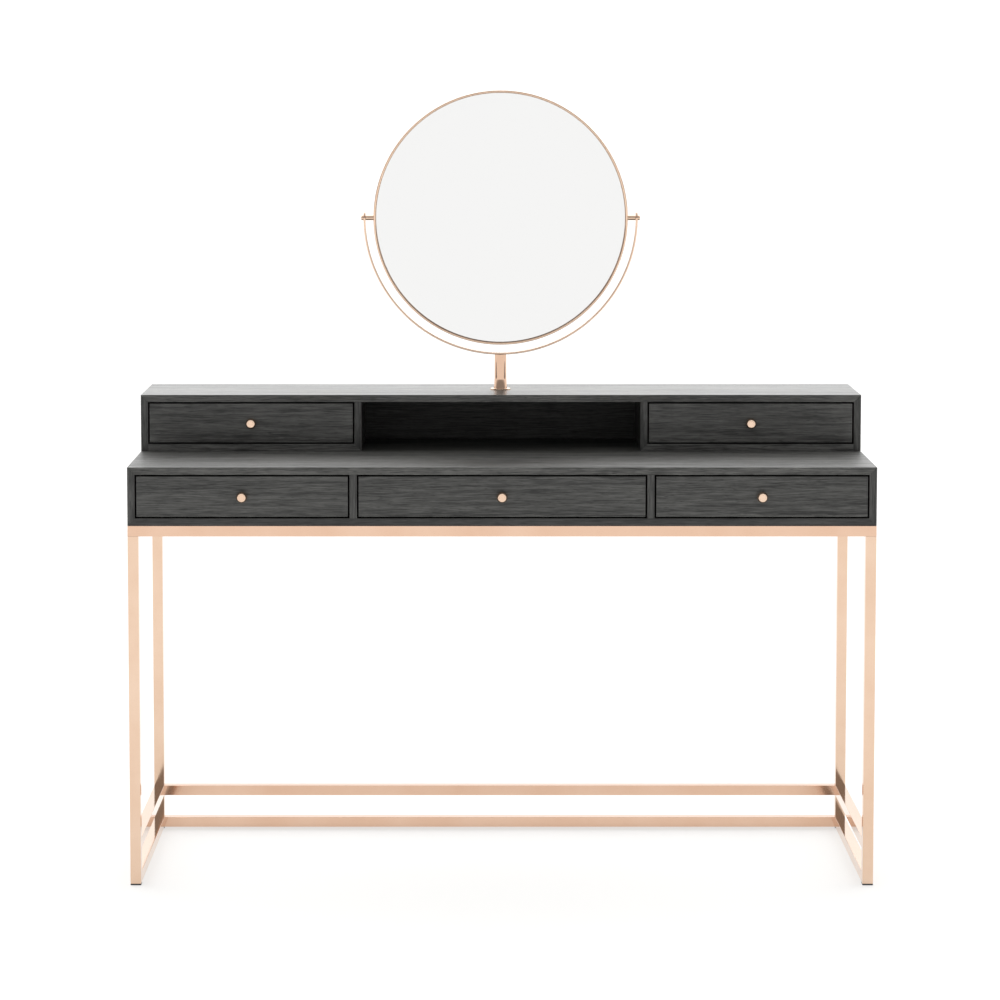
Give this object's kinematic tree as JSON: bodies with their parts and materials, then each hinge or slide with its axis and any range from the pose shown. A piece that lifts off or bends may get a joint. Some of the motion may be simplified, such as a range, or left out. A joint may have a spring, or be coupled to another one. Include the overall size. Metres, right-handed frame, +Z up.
{
  "type": "vanity table with tilting mirror",
  "caption": "Slim dressing table: dark wood drawer case with a raised rear case and open niche on a square-tube metal frame, with a round mirror tilting in a fork.",
  "frame": {"origin": "on the floor, below the middle of the whole object", "axes": "+Z up, -Y towards the person who sits at the table, +X to that person's right"},
  "size_m": [1.4, 0.519, 1.4925],
  "materials": {
    "rose_gold_metal": "polished rose gold plating",
    "dark_wood": "black stained oak veneer, satin lacquer",
    "drawer_wood": "dark stained plywood, matt",
    "screw_steel": "zinc plated",
    "black_plastic": "moulded, fine texture",
    "mirror_glass": "silvered float glass",
    "mirror_backing": "black painted board"
  },
  "bodies": {
    "table": {"leg_front_left": "rose_gold_metal", "leg_front_right": "rose_gold_metal", "leg_back_left": "rose_gold_metal", "leg_back_right": "rose_gold_metal", "top_front_rail": "rose_gold_metal", "top_back_rail": "rose_gold_metal", "top_left_rail": "rose_gold_metal", "top_right_rail": "rose_gold_metal", "bottom_back": "rose_gold_metal", "bottom_left": "rose_gold_metal", "bottom_right": "rose_gold_metal", "stretcher_back": "rose_gold_metal", "stretcher_left": "rose_gold_metal", "stretcher_right": "rose_gold_metal", "leg_glides": "black_plastic", "desk_bottom": "dark_wood", "desk_top": "dark_wood", "desk_left_side": "dark_wood", "desk_right_side": "dark_wood", "desk_left_divider": "dark_wood", "desk_right_divider": "dark_wood", "desk_back": "dark_wood", "hutch_top": "dark_wood", "hutch_left_side": "dark_wood", "hutch_right_side": "dark_wood", "hutch_left_divider": "dark_wood", "hutch_right_divider": "dark_wood", "hutch_left_bottom": "dark_wood", "hutch_right_bottom": "dark_wood", "hutch_back": "dark_wood", "desk_runners": "drawer_wood", "hutch_runners": "drawer_wood", "frame_screws": "screw_steel", "hutch_screws": "screw_steel", "mirror_stem_bolt": "screw_steel", "mirror_flange": "rose_gold_metal", "mirror_stem": "rose_gold_metal", "mirror_yoke": "rose_gold_metal"},
    "desk_drawer_left": {"desk_drawer_left_front": "dark_wood", "desk_drawer_left_box": "drawer_wood", "desk_drawer_left_knob": "rose_gold_metal"},
    "desk_drawer_middle": {"desk_drawer_middle_front": "dark_wood", "desk_drawer_middle_box": "drawer_wood", "desk_drawer_middle_knob": "rose_gold_metal"},
    "desk_drawer_right": {"desk_drawer_right_front": "dark_wood", "desk_drawer_right_box": "drawer_wood", "desk_drawer_right_knob": "rose_gold_metal"},
    "hutch_drawer_left": {"hutch_drawer_left_front": "dark_wood", "hutch_drawer_left_box": "drawer_wood", "hutch_drawer_left_knob": "rose_gold_metal"},
    "hutch_drawer_right": {"hutch_drawer_right_front": "dark_wood", "hutch_drawer_right_box": "drawer_wood", "hutch_drawer_right_knob": "rose_gold_metal"},
    "mirror": {"mirror_ring": "rose_gold_metal", "mirror_glass": "mirror_glass", "mirror_backing": "mirror_backing", "mirror_pivot_pins": "rose_gold_metal", "mirror_pivot_caps": "rose_gold_metal"}
  },
  "joints": [
    {"name": "desk_drawer_left_slide", "type": "slide", "parent": "table", "child": "desk_drawer_left", "axis": [0, -1, 0], "range_m": [0, 0.35]},
    {"name": "desk_drawer_middle_slide", "type": "slide", "parent": "table", "child": "desk_drawer_middle", "axis": [0, -1, 0], "range_m": [0, 0.35]},
    {"name": "desk_drawer_right_slide", "type": "slide", "parent": "table", "child": "desk_drawer_right", "axis": [0, -1, 0], "range_m": [0, 0.35]},
    {"name": "hutch_drawer_left_slide", "type": "slide", "parent": "table", "child": "hutch_drawer_left", "axis": [0, -1, 0], "range_m": [0, 0.14]},
    {"name": "hutch_drawer_right_slide", "type": "slide", "parent": "table", "child": "hutch_drawer_right", "axis": [0, -1, 0], "range_m": [0, 0.14]},
    {"name": "mirror_tilt", "type": "hinge", "parent": "table", "child": "mirror", "pos_m": [0, 0.1445, 1.2425], "axis": [1, 0, 0], "continuous": true}
  ]
}
